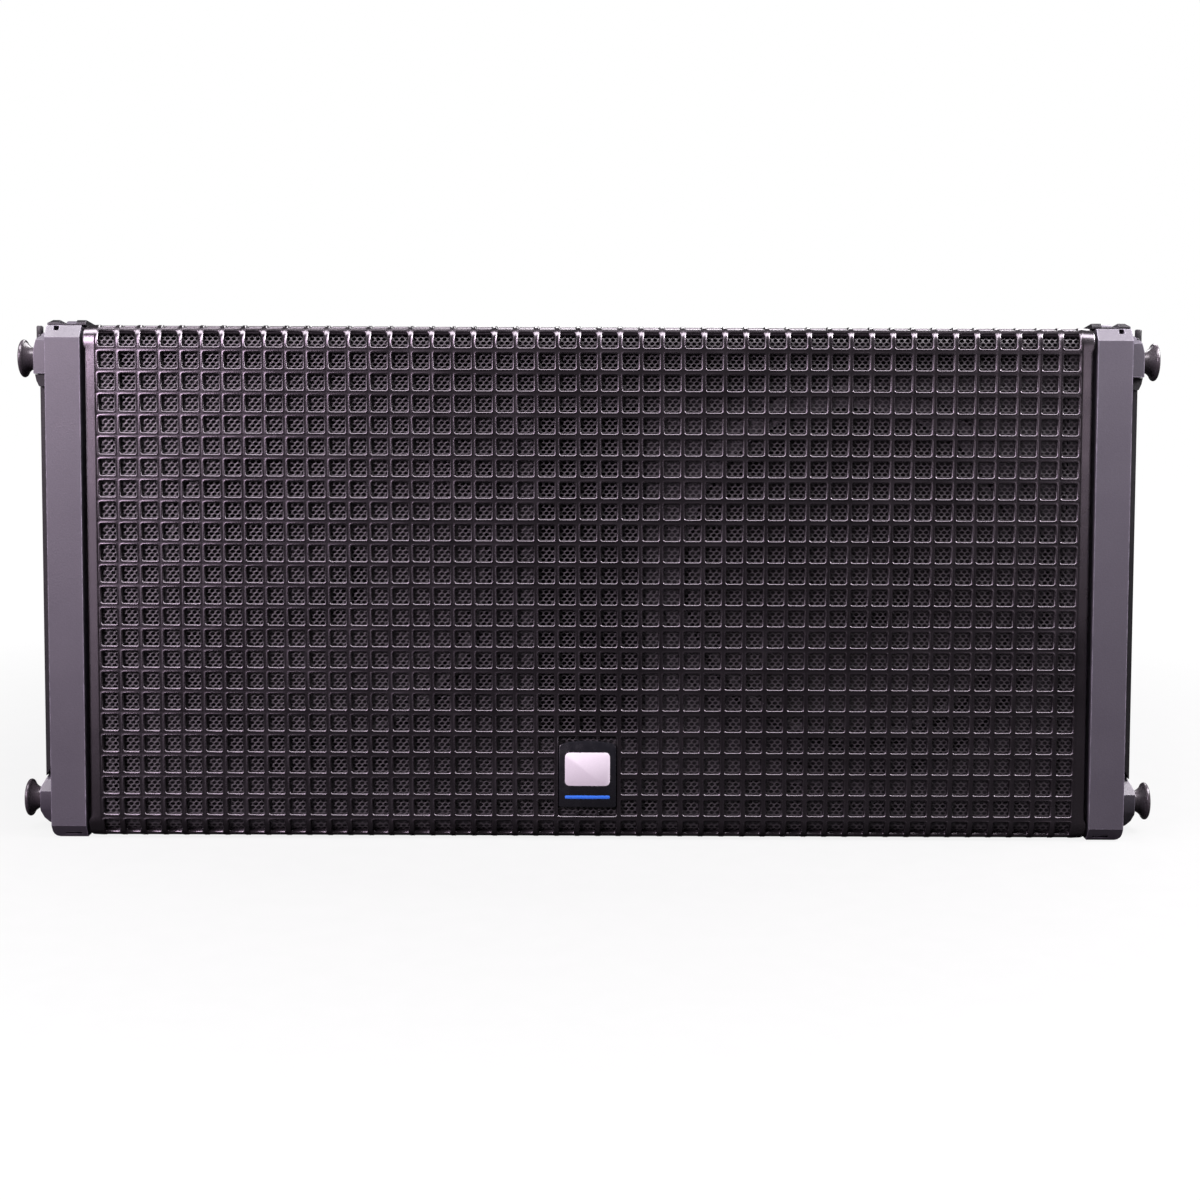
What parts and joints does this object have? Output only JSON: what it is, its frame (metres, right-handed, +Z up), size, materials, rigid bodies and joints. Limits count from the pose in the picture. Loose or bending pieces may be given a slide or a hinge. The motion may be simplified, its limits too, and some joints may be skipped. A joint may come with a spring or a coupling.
{
  "type": "line array speaker",
  "caption": "Compact wedge-shaped line array speaker cabinet with a square-cell front grille and side-frame rigging.",
  "frame": {"origin": "centre of the bounding box on the plane that the cabinet rests on", "axes": "+Z up, the grille faces -Y, +X to the right as seen from the front"},
  "size_m": [0.6952, 0.4898, 0.3117],
  "materials": {
    "cast_frame": "satin dark grey powder coat with a slight mauve tint",
    "grille_plastic": "satin dark grey moulded plastic",
    "mesh_black": "black expanded mesh",
    "badge_black": "dark gloss badge with a plain silver panel and a thin blue line",
    "panel_black": "black textured moulding",
    "pin_steel": "bright turned steel",
    "knob_dark": "satin dark coated metal",
    "steel_black": "black powder-coated steel",
    "box_paint": "plywood in textured dark paint",
    "socket_plastic": "black moulded plastic",
    "cone_paper": "dark treated paper",
    "surround_rubber": "matt black rubber",
    "magnet_ferrite": "grey ferrite and plated steel",
    "coil_copper": "varnished copper winding",
    "board_green": "green circuit board",
    "capacitor_film": "yellow film capacitor",
    "lining_foam": "grey acoustic foam"
  },
  "bodies": {
    "cabinet": {"arm_guide_left": "panel_black", "arm_guide_right": "panel_black", "badge_plate": "badge_black", "cabinet_shell": "box_paint", "compression_driver_lower": "magnet_ferrite", "compression_driver_upper": "magnet_ferrite", "crossover_board": "board_green", "crossover_capacitor": "capacitor_film", "crossover_inductor": "coil_copper", "front_baffle": "box_paint", "front_grille": "grille_plastic", "grille_mesh": "mesh_black", "handle_cup_left": "panel_black", "handle_cup_right": "panel_black", "input_lead": "surround_rubber", "input_plate": "steel_black", "lining_panel": "lining_foam", "pin_spring_bottom_left": "pin_steel", "pin_spring_bottom_right": "pin_steel", "pin_spring_top_left": "pin_steel", "pin_spring_top_right": "pin_steel", "rear_bracket": "steel_black", "rear_handle_left": "steel_black", "rear_handle_right": "steel_black", "rear_pin_spring": "pin_steel", "rear_pivot_bolt": "pin_steel", "side_frame_left": "cast_frame", "side_frame_right": "cast_frame", "side_panel_left": "panel_black", "side_panel_right": "panel_black", "speaker_socket_in": "socket_plastic", "speaker_socket_link": "socket_plastic", "waveguide": "panel_black", "woofer_basket_left": "steel_black", "woofer_basket_right": "steel_black", "woofer_magnet_left": "magnet_ferrite", "woofer_magnet_right": "magnet_ferrite", "woofer_spider_left": "cone_paper", "woofer_spider_right": "cone_paper", "woofer_surround_left": "surround_rubber", "woofer_surround_right": "surround_rubber"},
    "link_arm_left": {"link_arm_left": "steel_black"},
    "lock_pin_top_left": {"lock_pin_top_left": "pin_steel", "pin_knob_top_left": "knob_dark"},
    "lock_pin_bottom_left": {"lock_pin_bottom_left": "pin_steel", "pin_knob_bottom_left": "knob_dark"},
    "woofer_cone_left": {"woofer_cone_left": "cone_paper", "dust_cap_left": "cone_paper", "voice_coil_left": "coil_copper"},
    "link_arm_right": {"link_arm_right": "steel_black"},
    "lock_pin_top_right": {"lock_pin_top_right": "pin_steel", "pin_knob_top_right": "knob_dark"},
    "lock_pin_bottom_right": {"lock_pin_bottom_right": "pin_steel", "pin_knob_bottom_right": "knob_dark"},
    "woofer_cone_right": {"woofer_cone_right": "cone_paper", "dust_cap_right": "cone_paper", "voice_coil_right": "coil_copper"},
    "rear_splay_arm": {"rear_splay_arm": "steel_black"},
    "rear_lock_pin": {"rear_lock_pin": "pin_steel", "rear_pin_knob": "knob_dark"}
  },
  "joints": [
    {"name": "link_arm_left_slide", "type": "slide", "parent": "cabinet", "child": "link_arm_left", "axis": [0, 0.0698, 0.9976], "range_m": [0, 0.0395]},
    {"name": "lock_pin_top_left_pull", "type": "slide", "parent": "cabinet", "child": "lock_pin_top_left", "axis": [-1, 0, 0], "range_m": [0, 0.0115], "stiffness_N_per_m": 1500, "deforming": ["pin_spring_top_left"]},
    {"name": "lock_pin_bottom_left_pull", "type": "slide", "parent": "cabinet", "child": "lock_pin_bottom_left", "axis": [-1, 0, 0], "range_m": [0, 0.0115], "stiffness_N_per_m": 1500, "deforming": ["pin_spring_bottom_left"]},
    {"name": "woofer_left_travel", "type": "slide", "parent": "cabinet", "child": "woofer_cone_left", "axis": [0.342, -0.9374, 0.0655], "range_m": [-0.008, 0.008], "stiffness_N_per_m": 5000},
    {"name": "link_arm_right_slide", "type": "slide", "parent": "cabinet", "child": "link_arm_right", "axis": [0, 0.0698, 0.9976], "range_m": [0, 0.0395]},
    {"name": "lock_pin_top_right_pull", "type": "slide", "parent": "cabinet", "child": "lock_pin_top_right", "axis": [1, 0, 0], "range_m": [0, 0.0115], "stiffness_N_per_m": 1500, "deforming": ["pin_spring_top_right"]},
    {"name": "lock_pin_bottom_right_pull", "type": "slide", "parent": "cabinet", "child": "lock_pin_bottom_right", "axis": [1, 0, 0], "range_m": [0, 0.0115], "stiffness_N_per_m": 1500, "deforming": ["pin_spring_bottom_right"]},
    {"name": "woofer_right_travel", "type": "slide", "parent": "cabinet", "child": "woofer_cone_right", "axis": [-0.342, -0.9374, 0.0655], "range_m": [-0.008, 0.008], "stiffness_N_per_m": 5000},
    {"name": "rear_splay_arm_swing", "type": "hinge", "parent": "cabinet", "child": "rear_splay_arm", "pos_m": [0, 0.21804, 0.21522], "axis": [1, 0, 0], "range_deg": [0, 180]},
    {"name": "rear_lock_pin_pull", "type": "slide", "parent": "cabinet", "child": "rear_lock_pin", "axis": [1, 0, 0], "range_m": [0, 0.0175], "stiffness_N_per_m": 1500, "deforming": ["rear_pin_spring"]}
  ]
}
